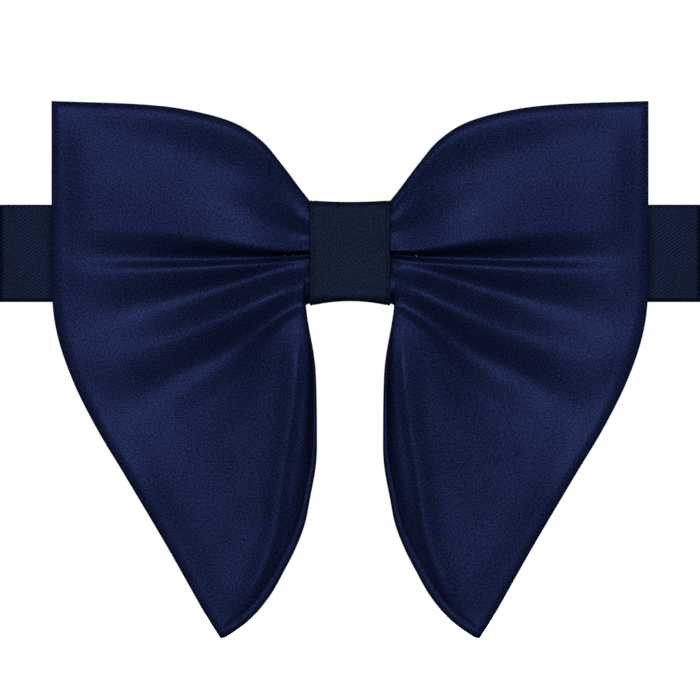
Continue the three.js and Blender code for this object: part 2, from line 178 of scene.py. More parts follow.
class Graph:
    """The node graph of one material."""

    def __init__(self, name: str) -> None:
        """Starts an empty material.

        Args:
            name: The material's name.
        """
        self.material = bpy.data.materials.new(name)
        self.material.use_nodes = True
        self.tree = self.material.node_tree
        self.tree.nodes.clear()

    def node(self, kind: str, settings: dict | None = None, inputs: dict | None = None) -> Built:
        """Adds one node.

        Args:
            kind: Blender's node type.
            settings: Properties set before the sockets.
            inputs: Values, expressions or links by socket name or number.

        Returns:
            The node that was added.
        """
        made = self.tree.nodes.new(kind)
        for key, setting in (settings or {}).items():
            setattr(made, key, setting)
        for key, given in (inputs or {}).items():
            socket = made.inputs[key]
            source = given.socket if isinstance(given, Value) else given
            if isinstance(source, bpy.types.NodeSocket):
                self.tree.links.new(source, socket)
            else:
                socket.default_value = source
        return Built(self, made)

    def mix_colours(self, share: Value, low: tuple, high: tuple) -> bpy.types.NodeSocket:
        """A colour between two, by the share given.

        Args:
            share: 0 for low and 1 for high.
            low: The first colour, linear RGB.
            high: The second colour, linear RGB.

        Returns:
            The colour socket.
        """
        factor, first, second, result = MIX_SOCKETS
        inputs = {factor: share, first: (*low, 1.0), second: (*high, 1.0)}
        return self.node("ShaderNodeMix", {"data_type": "RGBA"}, inputs).out(result)

    def cloth_axes(self) -> tuple[Value, Value, bpy.types.NodeSocket]:
        """The flat cloth coordinates in millimetres.

        Returns:
            The coordinate along, the one across, and both as a vector.
        """
        place = self.node("ShaderNodeAttribute", {"attribute_name": "cloth"}).out("Vector")
        parts = self.node("ShaderNodeSeparateXYZ", None, {0: place})
        return parts.value("X"), parts.value("Y"), place

    def noise(self, place: bpy.types.NodeSocket, scale: float, detail: float = 2.0) -> Value:
        """Soft noise over a place, from about 0 to 1."""
        inputs = {"Vector": place, "Scale": scale, "Detail": detail, "Roughness": NOISE_GRAIN}
        return self.node("ShaderNodeTexNoise", None, inputs).value(0)

    def bump(self, height: Value, strength: float, distance: float) -> bpy.types.NodeSocket:
        """A bumped normal from a height.

        Args:
            height: The height, about 0 to 1.
            strength: How strongly it shows.
            distance: The height of 1 in metres.

        Returns:
            The normal socket.
        """
        inputs = {"Height": height, "Strength": strength, "Distance": distance}
        return self.node("ShaderNodeBump", None, inputs).out("Normal")

    def finish(self, inputs: dict) -> bpy.types.Material:
        """Ends the graph in a Principled shader with the inputs given."""
        shader = self.node("ShaderNodeBsdfPrincipled", None, inputs).out(0)
        self.node("ShaderNodeOutputMaterial", None, {"Surface": shader})
        return self.material


# ---------------------------------------------------------------- finishes


class Rib(Enum):
    """How the diagonal ribs of a cloth run."""

    NONE = "none"
    RISING = "rising"
    CHEVRON = "chevron"


@dataclass(frozen=True)
class Cloth:
    """A woven cloth with a sheen, ribs and a fine speckle of threads.

    Spacings are in millimetres and scales in repeats per millimetre. The lights say how far
    threads, slubs, painted glints and ribs move the colour from dark to light. The painted glints
    are sparse bright specks of thread highlight painted into the colour.
    """

    name: str
    slot: str
    dark: tuple[float, float, float]
    light: tuple[float, float, float]
    roughness: float
    rib: Rib
    rib_spacing: float
    rib_slope: float
    rib_depth: float
    speckle: float
    satin: float = 0.5
    edge_tint: tuple[float, float, float] = (0.04, 0.06, 0.12)
    glint: float = 0.5
    thread_scale: float = 2.2
    slub_scale: float = 0.09
    slub_light: float = 0.3
    # painted glints: sparse bright specks of thread highlight painted into the colour, by size,
    # threshold, gain and how far they lighten it
    painted_glint_scale: float = 2.9
    painted_glint_floor: float = 0.6
    painted_glint_gain: float = 6.0
    painted_glint_light: float = 1.6
    ground_light: float = 0.32
    rib_wander: float = 2.4
    rib_relief: float = 0.15
    rib_relief_gain: float = 0.5
    uneven_gloss: float = 0.25
    relief: float = 0.00012

    def ribs(self, along: Value, across: Value, threads: Value) -> Value | None:
        """The ribs as a wave from 0 to 1.

        Args:
            along: The cloth coordinate along.
            across: The cloth coordinate across.
            threads: The noise that makes the ribs uneven.

        Returns:
            The wave, or None on a plain cloth.
        """
        if self.rib is Rib.NONE:
            return None
        side = abs(along) * -1.0 if self.rib is Rib.CHEVRON else along
        turn = math.tau / self.rib_spacing
        slope = math.radians(self.rib_slope)
        phase = across * (turn * math.cos(slope)) - side * (turn * math.sin(slope))
        return (phase + (threads - 0.5) * self.rib_wander).sine() * 0.5 + 0.5

    def material(self) -> bpy.types.Material:
        """The Blender material of the cloth."""
        graph = Graph(self.name)
        along, across, place = graph.cloth_axes()
        threads = graph.noise(place, self.thread_scale, 3.0)
        slubs = graph.noise(place, self.slub_scale)
        # painted glints: bright thread highlights painted into the base colour as sparse specks
        painted_glints = graph.noise(place, self.painted_glint_scale, 1.0)
        painted_glints = ((painted_glints - self.painted_glint_floor) * self.painted_glint_gain).clamped()
        share = (threads - 0.5) * self.speckle + (slubs - 0.5) * self.slub_light
        share = share + painted_glints * self.painted_glint_light + self.ground_light
        height = threads
        wave = self.ribs(along, across, threads)
        if wave is not None:
            patches = (slubs * 2.4 - 0.2).clamped()
            share = share + (wave - 0.5) * self.rib_depth * patches
            height = height + wave * (self.rib_relief + self.rib_relief_gain * self.rib_depth)
        roughness = (threads - 0.5) * self.uneven_gloss + self.roughness
        return graph.finish(
            {
                "Base Color": graph.mix_colours(share.clamped(), self.dark, self.light),
                "Roughness": roughness.clamped(),
                "Metallic": self.satin,
                "Specular IOR Level": 0.0,
                "Specular Tint": (*self.edge_tint, 1.0),
                "Normal": graph.bump(height, self.glint, self.relief),
            }
        )


@dataclass(frozen=True)
class Plate:
    """Bright nickel plate with fine brushing and a little dullness from handling."""

    name: str = "nickel_plate"
    slot: str = "plated_metal"
    colour: tuple[float, float, float] = (0.36, 0.355, 0.345)
    worn: tuple[float, float, float] = (0.22, 0.21, 0.195)
    roughness: float = 0.26
    brush_scale: tuple[float, float, float] = (400.0, 400.0, 6000.0)
    handling_scale: float = 260.0

    def material(self) -> bpy.types.Material:
        """The Blender material of the plate."""
        graph = Graph(self.name)
        place = graph.node("ShaderNodeTexCoord").out("Object")
        stretched = graph.node("ShaderNodeMapping", None, {"Vector": place, "Scale": self.brush_scale})
        brushing = graph.noise(stretched.out(0), 1.0)
        handling = graph.noise(place, self.handling_scale, 3.0)
        colour = graph.mix_colours((handling * 1.6 - 0.5).clamped(), self.colour, self.worn)
        rough = (brushing - 0.5) * 0.12 + (handling - 0.5) * 0.2 + self.roughness
        return graph.finish(
            {
                "Base Color": colour,
                "Metallic": 1.0,
                "Roughness": rough.clamped(),
                "Normal": graph.bump(brushing, 0.15, 0.00004),
            }
        )


@dataclass(frozen=True)
class Felt:
    """Matt interlining of matted pale fibres."""

    name: str = "interlining_felt"
    slot: str = "interlining"
    dark: tuple[float, float, float] = (0.52, 0.49, 0.42)
    light: tuple[float, float, float] = (0.78, 0.75, 0.68)
    fibre_scale: float = 900.0

    def material(self) -> bpy.types.Material:
        """The Blender material of the felt."""
        graph = Graph(self.name)
        place = graph.node("ShaderNodeTexCoord").out("Object")
        fibres = graph.noise(place, self.fibre_scale, 4.0)
        colour = graph.mix_colours(fibres, self.dark, self.light)
        return graph.finish(
            {"Base Color": colour, "Roughness": 0.95, "Normal": graph.bump(fibres, 0.4, 0.0002)}
        )


WING_SATIN = Cloth(
    name="wing_satin",
    slot="wing_satin",
    dark=(0.0004, 0.0007, 0.0030),
    light=(0.0027, 0.0041, 0.0143),
    roughness=0.48,
    rib=Rib.CHEVRON,
    rib_spacing=0.55,
    rib_slope=35.0,
    rib_depth=0.12,
    speckle=2.2,
)
KNOT_TWILL = Cloth(
    name="knot_twill",
    slot="knot_twill",
    dark=(0.0004, 0.0007, 0.0015),
    light=(0.0018, 0.0029, 0.0071),
    roughness=0.55,
    rib=Rib.CHEVRON,
    rib_spacing=0.52,
    rib_slope=42.0,
    rib_depth=0.45,
    speckle=2.9,
)
STRAP_SATIN = Cloth(
    name="strap_satin",
    slot="strap_satin",
    dark=(0.0004, 0.0007, 0.0016),
    light=(0.0016, 0.0025, 0.0068),
    roughness=0.52,
    rib=Rib.RISING,
    rib_spacing=0.75,
    rib_slope=35.0,
    rib_depth=0.9,
    speckle=2.2,
)
NAVY_THREAD = Cloth(
    name="navy_thread",
    slot="thread",
    dark=(0.0006, 0.0010, 0.0027),
    light=(0.0021, 0.0032, 0.0087),
    roughness=0.6,
    rib=Rib.NONE,
    rib_spacing=1.0,
    rib_slope=0.0,
    rib_depth=0.0,
    speckle=1.5,
)
NICKEL = Plate()
FELT = Felt()


@dataclass
class Wardrobe:
    """Makes each finish once, and puts finished pieces on the frame."""

    made: dict[str, bpy.types.Material] = field(default_factory=dict)

    def place(
        self,
        piece: bpy.types.Object,
        finish: Cloth | Plate | Felt,
        node: str,
        body: str | None = None,
    ) -> None:
        """Dresses a piece and hides the plain solid that it stands for.

        Args:
            piece: The new piece.
            finish: The finish that it takes.
            node: The node of the frame that it stands for.
            body: The body that it rides on, or None where it rides on no body.
        """
        if finish.name not in self.made:
            self.made[finish.name] = finish.material()
        piece.data.materials.clear()
        piece.data.materials.append(self.made[finish.name])
        if body is not None:
            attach(piece, body)
        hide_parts(node)
        log.info("%s", piece.name)


# ---------------------------------------------------------------- curves and meshes


def box_mm(node: str) -> tuple[Vector, Vector]:
    """The low and high corners of a node's box, in millimetres."""
    low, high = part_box(node)
    return low / MM, high / MM


def smoothstep(low: float, high: float, x: np.ndarray) -> np.ndarray:
    """A smooth rise from 0 at low to 1 at high."""
    t = np.clip((x - low) / (high - low), 0.0, 1.0)
    return t * t * (3.0 - 2.0 * t)


class SmoothCurve:
    """A smooth curve through points, measured along its own length."""

    def __init__(self, points: list[tuple[float, ...]], per_span: int = 40) -> None:
        """Fits the curve.

        Args:
            points: The points that it passes through.
            per_span: How many samples lie between two points.
        """
        given = np.asarray(points, float)
        ends = [2 * given[0] - given[1]], [2 * given[-1] - given[-2]]
        p = np.vstack([ends[0], given, ends[1]])
        t = np.linspace(0.0, 1.0, per_span, endpoint=False)[:, None]
        spans = [self._span(p[i : i + 4], t) for i in range(len(given) - 1)]
        self.points = np.vstack([*spans, given[-1:]])
        steps = np.linalg.norm(np.diff(self.points, axis=0), axis=1)
        self.run = np.concatenate([[0.0], np.cumsum(steps)])
        self.length = float(self.run[-1])

    @staticmethod
    def _span(p: np.ndarray, t: np.ndarray) -> np.ndarray:
        """One stretch between the middle two of four points."""
        square, cube = t * t, t * t * t
        return 0.5 * (
            2 * p[1]
            + (p[2] - p[0]) * t
            + (2 * p[0] - 5 * p[1] + 4 * p[2] - p[3]) * square
            + (3 * p[1] - p[0] - 3 * p[2] + p[3]) * cube
        )

    def at(self, share: np.ndarray) -> np.ndarray:
        """Points at shares of the length, from 0 to 1."""
        where = np.asarray(share, float) * self.length
        axes = [np.interp(where, self.run, self.points[:, k]) for k in range(self.points.shape[1])]
        return np.stack(axes, axis=-1)


def between(
    start: tuple[float, float],
    end: tuple[float, float],
    shares: list[tuple[float, float]],
) -> SmoothCurve:
    """A curve between two corners, bent by shares of the way along each axis."""
    (x0, z0), (x1, z1) = start, end
    return SmoothCurve([(x0 + (x1 - x0) * a, z0 + (z1 - z0) * b) for a, b in shares])


def grid_faces(
    rows: int,
    columns: int,
    wrap_rows: bool,
    wrap_columns: bool,
) -> list[tuple[int, ...]]:
    """The quads of a grid of points.

    Args:
        rows: How many rows the grid has.
        columns: How many points each row has.
        wrap_rows: Whether the last row joins the first.
        wrap_columns: Whether each row closes on itself.

    Returns:
        Four point numbers for each quad.
    """
    faces = []
    for i in range(rows if wrap_rows else rows - 1):
        here, below = i * columns, (i + 1) % rows * columns
        for j in range(columns if wrap_columns else columns - 1):
            right = (j + 1) % columns
            faces.append((here + j, here + right, below + right, below + j))
    return faces


def make_mesh(
    name: str,
    points: np.ndarray,
    faces: list[tuple[int, ...]],
    cloth: np.ndarray,
    smooth: bool = True,
) -> bpy.types.Object:
    """A mesh object from points in millimetres.

    Args:
        name: The piece's name.
        points: One row of x, y, z for each point.
        faces: Point numbers of each face.
        cloth: Flat cloth coordinates of each point, in millimetres.
        smooth: Whether the faces shade smoothly.

    Returns:
        The new object, linked to the scene.
    """
    mesh = bpy.data.meshes.new(name)
    mesh.from_pydata((np.asarray(points) * MM).tolist(), [], faces)
    flat = np.zeros((len(points), 3), np.float32)
    flat[:, : cloth.shape[1]] = cloth
    layer = mesh.attributes.new("cloth", "FLOAT_VECTOR", "POINT")
    layer.data.foreach_set("vector", flat.ravel())
    mesh.polygons.foreach_set("use_smooth", [smooth] * len(mesh.polygons))
    mesh.update()
    piece = bpy.data.objects.new(name, mesh)
    bpy.context.scene.collection.objects.link(piece)
    return piece


def face_outward(piece: bpy.types.Object) -> None:
    """Turns a closed mesh so that its faces point out."""
    mesh = piece.data
    mesh.calc_loop_triangles()
    corners = np.zeros(len(mesh.vertices) * 3)
    mesh.vertices.foreach_get("co", corners)
    corners = corners.reshape(-1, 3)
    index = np.zeros(len(mesh.loop_triangles) * 3, np.int32)
    mesh.loop_triangles.foreach_get("vertices", index)
    a, b, c = corners[index.reshape(-1, 3)].transpose(1, 0, 2)
    if float((a * np.cross(b, c)).sum()) < 0:
        mesh.flip_normals()


def joined_skins(
    name: str,
    outer: np.ndarray,
    inner: np.ndarray,
    cloth: np.ndarray,
) -> bpy.types.Object:
    """A closed sheet between an outer and an inner grid of the same size.

    Args:
        name: The piece's name.
        outer: The outer grid, rows by columns by 3.
        inner: The inner grid.
        cloth: The cloth coordinates of the grid, rows by columns by 2.

    Returns:
        The closed piece, facing outward.
    """
    rows, columns, _ = outer.shape
    count = rows * columns
    faces = grid_faces(rows, columns, False, False)
    faces += [tuple(count + k for k in reversed(quad)) for quad in faces]
    rim = [(0, j) for j in range(columns)]
    rim += [(i, columns - 1) for i in range(1, rows)]
    rim += [(rows - 1, j) for j in range(columns - 2, -1, -1)]
    rim += [(i, 0) for i in range(rows - 2, 0, -1)]
    ring = [i * columns + j for i, j in rim]
    for here, there in zip(ring, ring[1:] + ring[:1]):
        faces.append((there, here, count + here, count + there))
    points = np.vstack([outer.reshape(-1, 3), inner.reshape(-1, 3)])
    flat = np.vstack([cloth.reshape(-1, 2)] * 2)
    piece = make_mesh(name, points, faces, flat)
    face_outward(piece)
    return piece


def thinned(grid: np.ndarray, skip: int) -> np.ndarray:
    """Every so many rows and columns of a grid of points, with its last ones kept."""
    rows, columns = (np.unique([*range(0, count, skip), count - 1]) for count in grid.shape[:2])
    return grid[np.ix_(rows, columns)]


def swept(name: str, points: np.ndarray, cloth: np.ndarray) -> bpy.types.Object:
    """A closed piece through rings of points, capped at both ends.

    Args:
        name: The piece's name.
        points: The rings, rings by points by 3.
        cloth: The cloth coordinates, rings by points by 2.

    Returns:
        The closed piece, facing outward.
    """
    rows, columns = points.shape[:2]
    faces = grid_faces(rows, columns, False, True)
    faces.append(tuple(range(columns)))
    faces.append(tuple(range((rows - 1) * columns, rows * columns))[::-1])
    piece = make_mesh(name, points.reshape(-1, 3), faces, cloth.reshape(-1, 2))
    face_outward(piece)
    return piece


def tube(name: str, line: np.ndarray, radius: float, up: np.ndarray) -> bpy.types.Object:
    """A round thread along a line.

    Args:
        name: The piece's name.
        line: The points that it follows.
        radius: Half its thickness.
        up: A direction that the line never runs along.

    Returns:
        The closed thread.
    """
    tangent = np.gradient(line, axis=0)
    tangent /= np.linalg.norm(tangent, axis=1)[:, None]
    side = np.cross(tangent, up)
    side /= np.linalg.norm(side, axis=1)[:, None]
    turn = np.linspace(0, math.tau, TUBE_SIDES, endpoint=False)
    ring = [side * math.cos(a) + np.cross(side, tangent) * math.sin(a) for a in turn]
    points = line[:, None, :] + radius * np.stack(ring, axis=1)
    return swept(name, points, points[..., (0, 2)])


# ---------------------------------------------------------------- wings


class Side(Enum):
    """The side of the bow that a wing is on, as the sign of its X."""

    LEFT = -1
    RIGHT = 1

    @property
    def word(self) -> str:
        """The side's name in piece names."""
        return self.name.lower()


@dataclass(frozen=True)
class Fold:
    """A ridge (height above 0) or groove (below 0) along a path of x and z on the +X wing.

    Heights and widths are in millimetres, the widths at the path's start and end, and the
    fades are shares of its length.
    """

    path: tuple[tuple[float, float], ...]
    height: float
    above: tuple[float, float]
    below: tuple[float, float]
    fade_in: float = 0.0
    fade_out: float = 0.5
    STEPS = 90

    def lift(self, x: np.ndarray, z: np.ndarray) -> np.ndarray:
        """How far the cloth stands forward at each place.

        Args:
            x: Places along X.
            z: Places along Z.

        Returns:
            The lift at each place, in millimetres.
        """
        line = SmoothCurve(list(self.path), per_span=24).at(np.linspace(0, 1, self.STEPS))
        flat = np.stack([x.ravel(), z.ravel()], axis=-1)
        nearest = np.full(len(flat), np.inf)
        share = np.zeros(len(flat))
        side = np.zeros(len(flat))
        for k in range(len(line) - 1):
            step = line[k + 1] - line[k]
            away = flat - line[k]
            t = np.clip(away @ step / (step @ step), 0.0, 1.0)
            rest = away - t[:, None] * step
            distance = np.hypot(rest[:, 0], rest[:, 1])
            closer = distance < nearest
            nearest = np.where(closer, distance, nearest)
            share = np.where(closer, (k + t) / (len(line) - 1), share)
            side = np.where(closer, step[0] * away[:, 1] - step[1] * away[:, 0], side)
        above = self.above[0] + (self.above[1] - self.above[0]) * share
        below = self.below[0] + (self.below[1] - self.below[0]) * share
        taper = 1.0 - smoothstep(1.0 - self.fade_out, 1.0, share)
        if self.fade_in > 0:
            taper = taper * smoothstep(0.0, self.fade_in, share)
        width = np.where(side > 0, above, below)
        return (self.height * taper * np.exp(-((nearest / width) ** 2))).reshape(x.shape)


@dataclass(frozen=True)
class FoldFan:
    """Folds that spread from the knot: crests and valleys as lines, joined smoothly between.

    Every line gives its Z and its height, in millimetres, at each of the stations along X.
    """

    stations: tuple[float, ...]
    levels: tuple[tuple[float, ...], ...]
    heights: tuple[tuple[float, ...], ...]

    def lift(self, x: np.ndarray, z: np.ndarray) -> np.ndarray:
        """How far the cloth stands forward at each place.

        Args:
            x: Places along X.
            z: Places along Z.

        Returns:
            The lift at each place, in millimetres.
        """
        flat_x, flat_z = x.ravel(), z.ravel()
        level = np.stack([self._along(row, flat_x) for row in self.levels])
        height = np.stack([self._along(row, flat_x) for row in self.heights])
        gap = np.diff(level, axis=0)
        slope = np.diff(height, axis=0) / gap
        before, after = slope[:-1], slope[1:]
        same = before * after > 0
        mean = np.where(same, 2 * before * after / np.where(same, before + after, 1.0), 0.0)
        ends = np.zeros((1, flat_x.size))
        lean = np.vstack([ends, mean, ends])
        lift = np.zeros(flat_x.size)
        for k in range(len(gap)):
            t = (flat_z - level[k]) / gap[k]
            inside = (t >= 0) & (t < 1)
            a, b = height[k], height[k + 1]
            p, q = lean[k] * gap[k], lean[k + 1] * gap[k]
            curve = a + t * (p + t * (3 * (b - a) - 2 * p - q + t * (2 * (a - b) + p + q)))
            lift = np.where(inside, curve, lift)
        return lift.reshape(x.shape)

    def _along(self, row: tuple[float, ...], x: np.ndarray) -> np.ndarray:
        """A line's values between its stations, smooth along X."""
        curve = SmoothCurve(list(zip(self.stations, row)), per_span=30).points
        return np.interp(x, curve[:, 0], curve[:, 1])


@dataclass(frozen=True)
class Edges:
    """How far each place on a leaf is from the leaf's edges, in millimetres."""

    top: np.ndarray
    inner: np.ndarray
    mouth: np.ndarray
    outer: np.ndarray

    @classmethod
    def measured(cls, flat: np.ndarray) -> "Edges":
        """Measures along the lines of a grid of x and z."""
        across = np.linalg.norm(np.diff(flat, axis=1), axis=2)
        outward = np.linalg.norm(np.diff(flat, axis=0), axis=2)
        top = np.concatenate([np.zeros((flat.shape[0], 1)), np.cumsum(across, axis=1)], axis=1)
        mouth = np.concatenate([np.zeros((1, flat.shape[1])), np.cumsum(outward, axis=0)], axis=0)
        return cls(top, top[:, -1:] - top, mouth, mouth[-1:, :] - mouth)


@dataclass(frozen=True)
class Reach:
    """How far in from each edge an effect takes to grow to its full size, in millimetres.

    The hollow is added at the top a little way out from the mouth, and the opening at the
    inner edge beyond it.
    """

    top: float
    inner: float
    outer: float
    hollow: float = 0.0
    opening: float = 0.0


@dataclass
class Wing:
    """One wing of the bow: a front leaf and a back leaf round an interlining."""

    side: Side
    wardrobe: Wardrobe
    mouth_x: float = 10.0
    mouth_top: float = 12.9
    mouth_bottom: float = -12.9
    neck_half: float = 9.4
    neck_start: float = 1.2
    neck_gap: float = 0.7
    neck_inset: float = 1.3
    edge_radius: float = 2.2
    seam_inset: float = 2.2
    seam_width: float = 0.4
    seam_depth: float = 0.9
    seam_roll: float = 0.5
    seam_gap: float = 0.05
    leaf_thickness: float = 0.45
    cut_width: float = 84.0
    cut_length: float = 144.0
    fullness: float = 1.15
    inner_gap: float = 0.7
    least_depth: float = 0.8
    inner_press: float = 1.5
    front_swell: float = 6.2
    front_settle: float = 5.7
    back_settle: float = 0.6
    back_pleats: float = 0.4
    interlining_fill: float = 0.4
    back_room: float = field(init=False)
    seam_y: float = field(init=False)
    neck_depth: float = field(init=False)
    corner: tuple[float, float] = field(init=False)
    tip: tuple[float, float] = field(init=False)

    TOP_EDGE = [
        (0, 0), (0.04, 0.13), (0.11, 0.37), (0.19, 0.61),
        (0.3, 0.79), (0.47, 0.91), (0.66, 0.968), (1, 1),
    ]
    INNER_EDGE = [
        (0, 0), (0.042, 0.003), (0.05, 0.02), (0.004, 0.084), (-0.044, 0.156), (-0.067, 0.227),
        (-0.076, 0.37), (-0.067, 0.477), (0.004, 0.586), (0.058, 0.658), (0.16, 0.73), (0.293, 0.8),
        (0.449, 0.873), (0.671, 0.944), (0.92, 0.993), (1, 1),
    ]
    OUTER_EDGE = [
        (0, 0), (0, 0.18), (0, 0.34), (0.03, 0.43), (0.125, 0.52), (0.268, 0.61),
        (0.44, 0.7), (0.685, 0.83), (0.91, 0.955), (1, 1),
    ]
    ROWS = 210
    COLUMNS = 170
    ROUND = 9
    NECK_ROWS = 5
    SAMPLES = 60
    OUTLINE_SAMPLES = 200
    ROW_POWER = 1.2
    EVEN_SHARE = 0.6
    TIP_SHARE = 0.434
    FACING = {"front": -1.0, "back": 1.0}
    SKIP = {"front": 1, "back": 2, "inside": 2}
    SEEDS = {Side.LEFT: 11, Side.RIGHT: 23}

    # how far out from the mouth the cloth opens, hollows, swells and settles again
    OPENS = 9.0
    HOLLOWS = 14.0
    SWELLS = 12.0
    SETTLES = 46.0
    PRESSES = 28.0
    PUFF = Reach(top=4.5, hollow=5.5, inner=0.9, opening=2.6, outer=5.0)
    CREASED = Reach(top=2.4, inner=0.9, opening=1.1, outer=4.0)
    PRESSED = Reach(top=14.0, inner=4.4, outer=30.0)

    FAN = FoldFan(
        stations=(9.0, 17.6, 28.5, 41.0, 55.0, 72.0),
        levels=(
            (8.5, 13.0, 18.0, 22.0, 26.0, 30.0),
            (3.4, 5.0, 8.4, 11.5, 14.0, 16.0),
            (0.5, 0.5, 2.2, 4.0, 5.4, 7.0),
            (-0.5, -1.1, -1.6, -2.0, -1.8, -1.6),
            (-1.6, -2.5, -3.2, -3.8, -4.4, -5.0),
            (-2.6, -4.3, -7.6, -11.0, -14.4, -18.5),
            (-7.6, -10.2, -15.2, -20.5, -25.5, -30.5),
            (-11.9, -15.9, -24.0, -30.5, -37.5, -45.0),
            (-13.6, -19.4, -32.0, -41.5, -50.0, -58.0),
            (-27.0, -38.0, -50.0, -61.0, -70.0, -79.0),
        ),
        heights=(
            (0.0, 0.0, 0.0, 0.0, 0.0, 0.0),
            (1.2, 1.1, 0.9, 0.7, 0.4, 0.1),
            (1.2, 1.2, 0.8, 0.5, 0.2, 0.0),
            (-3.8, -5.3, -5.9, -5.3, -2.4, -0.2),
            (-1.0, -2.6, -3.0, -2.3, -1.1, -0.1),
            (-0.8, -3.4, -6.3, -6.0, -3.4, -0.3),
            (0.4, 0.0, -1.3, -1.9, -1.3, 0.0),
            (-0.5, -3.3, -6.1, -5.2, -2.6, 0.0),
            (-0.3, -1.7, -3.2, -2.5, -1.3, 0.0),
            (0.0, 0.0, 0.0, 0.0, 0.0, 0.0),
        ),
    )
    FOLDS = (
        # the pressed ridge along the tail's inner edge
        Fold(
            ((12.9, -19.5), (14.3, -37), (16.9, -55), (19.6, -73), (25.4, -88.3), (28.9, -93.6)),
            1.2, (3.2, 2.8), (1.7, 1.4), 0.12, 0.15,
        ),
        # two shallow draws across the upper leaf
        Fold(((11, 8.5), (24, 15.5), (42, 22)), -0.5, (3.0, 6.0), (3.0, 6.0), 0.0, 0.7),
        Fold(((11, 11), (20, 20.5), (34, 28)), 0.4, (2.2, 5.0), (2.6, 6.0), 0.0, 0.7),
    )

    def __post_init__(self) -> None:
        """Reads the wing's corners, seam and neck from the frame."""
        low, high = box_mm(f"{self.side.word}_wing_front_leaf")
        back_high = box_mm(f"{self.side.word}_wing_back_leaf")[1].y
        bind_low, bind_high = box_mm("gather_binding")
        span = max(abs(low.x), abs(high.x))
        self.corner = (span, high.z)
        self.tip = (span * self.TIP_SHARE, low.z)
        self.seam_y = (bind_low.y + bind_high.y) / 2
        self.neck_depth = (bind_high.y - bind_low.y) / 2 - self.neck_inset
        self.back_room = back_high - self.seam_y - 2 * self.seam_gap

    def patch(self, s: np.ndarray, v: np.ndarray) -> np.ndarray:
        """Places on the fan from the knot's mouth to the outer edge.

        Args:
            s: Shares of the way out from the mouth.
            v: Shares of the way down from the top edge.

        Returns:
            The x and z of each place.
        """
        top_start = (self.mouth_x, self.mouth_top)
        inner_start = (self.mouth_x, self.mouth_bottom)
        top = between(top_start, self.corner, self.TOP_EDGE).at(s)
        inner = between(inner_start, self.tip, self.INNER_EDGE).at(s)
        outer = between(self.corner, self.tip, self.OUTER_EDGE).at(v)
        s, v = s[..., None], v[..., None]
        mouth = (1 - v) * np.array(top_start) + v * np.array(inner_start)
        far = (1 - v) * np.array(self.corner) + v * np.array(self.tip)
        return (1 - v) * top + v * inner + (1 - s) * mouth + s * outer - (1 - s) * mouth - s * far

    def shares(self) -> tuple[np.ndarray, np.ndarray, np.ndarray, np.ndarray]:
        """Spaces the grid's lines, closely at its rounded edges.

        Returns:
            The shares s and v, and the rounded edges' fullness across and at the outer end.
        """
        turn = np.linspace(0.0, math.pi / 2, self.ROUND + 1)[:-1]
        fill = np.sin(turn)
        inset = self.edge_radius * (1 - np.cos(turn))
        even = np.linspace(0, 1, self.SAMPLES)
        lines = self.patch(*np.meshgrid(even, even, indexing="ij"))
        across = np.linalg.norm(np.diff(lines, axis=1), axis=2).sum(axis=1)
        outwards = np.linalg.norm(np.diff(lines, axis=0), axis=2).sum(axis=0)
        rows = self.ROWS - self.ROUND
        columns = self.COLUMNS - 2 * self.ROUND
        s_even = np.linspace(0, 1, rows) ** self.ROW_POWER
        v_packed = 0.5 - 0.5 * np.cos(np.linspace(0, math.pi, columns))
        v_even = self.EVEN_SHARE * np.linspace(0, 1, columns) + (1 - self.EVEN_SHARE) * v_packed
        fill_v = np.concatenate([fill, np.ones(columns), fill[::-1]])
        fill_s = np.concatenate([np.ones(rows), fill[::-1]])
        nominal_v = np.concatenate([np.zeros(self.ROUND), v_even, np.ones(self.ROUND)])
        out_length = np.interp(nominal_v, even, outwards)
        body = s_even[:, None] * (1 - self.edge_radius / out_length)
        s = np.vstack([body, 1 - inset[::-1, None] / out_length])
        length = np.interp(s.mean(axis=1), even, across)[:, None]
        margin = self.edge_radius / length
        start = inset / length
        v = np.hstack([start, margin + v_even * (1 - 2 * margin), 1 - start[:, ::-1]])
        return s, v, fill_v, fill_s

    def surfaces(self) -> tuple[np.ndarray, np.ndarray]:
        """The wing's two faces, on its +X side.

        Returns:
            The front points and the back points, as grids.
        """
        s, v, fill_v, fill_s = self.shares()
        flat = self.patch(s, v)
        x, z = flat[..., 0], flat[..., 1]
        edges = Edges.measured(flat)
        rim = self.edge_radius * fill_v * fill_s[:, None]
        puff = self.spread(self.PUFF, edges)
        creased = self.spread(self.CREASED, edges)
        gathered = self.neck_depth - self.edge_radius
        back_swell = self.back_room - self.edge_radius
        swell = 1 - np.exp(-((edges.mouth / self.SWELLS) ** 2))
        settle = 1 - np.exp(-((edges.mouth / self.SETTLES) ** 2))
        front = gathered + (self.front_swell - gathered) * swell - self.front_settle * settle
        back = gathered + (back_swell - gathered) * swell - self.back_settle * settle
        folds = (self.FAN.lift(x, z) + sum(fold.lift(x, z) for fold in self.FOLDS)) * creased
        pleats = self.pleats(v, edges.mouth) * creased
        pressed = self.inner_press * self.spread(self.PRESSED, edges)
        pressed = pressed * smoothstep(0.0, self.PRESSES, edges.mouth)
        depth = rim + front * puff + folds + pleats + self.seam(edges, fill_v) + pressed
        depth = np.maximum(depth, np.minimum(rim, self.least_depth))
        back_depth = np.clip(rim + back * puff + self.back_pleats * pleats, 0.0, self.back_room)
        front_points = np.stack([x, self.seam_y - depth, z], axis=-1)
        back_points = np.stack([x, self.seam_y + back_depth, z], axis=-1)
        return self.with_neck(front_points), self.with_neck(back_points)

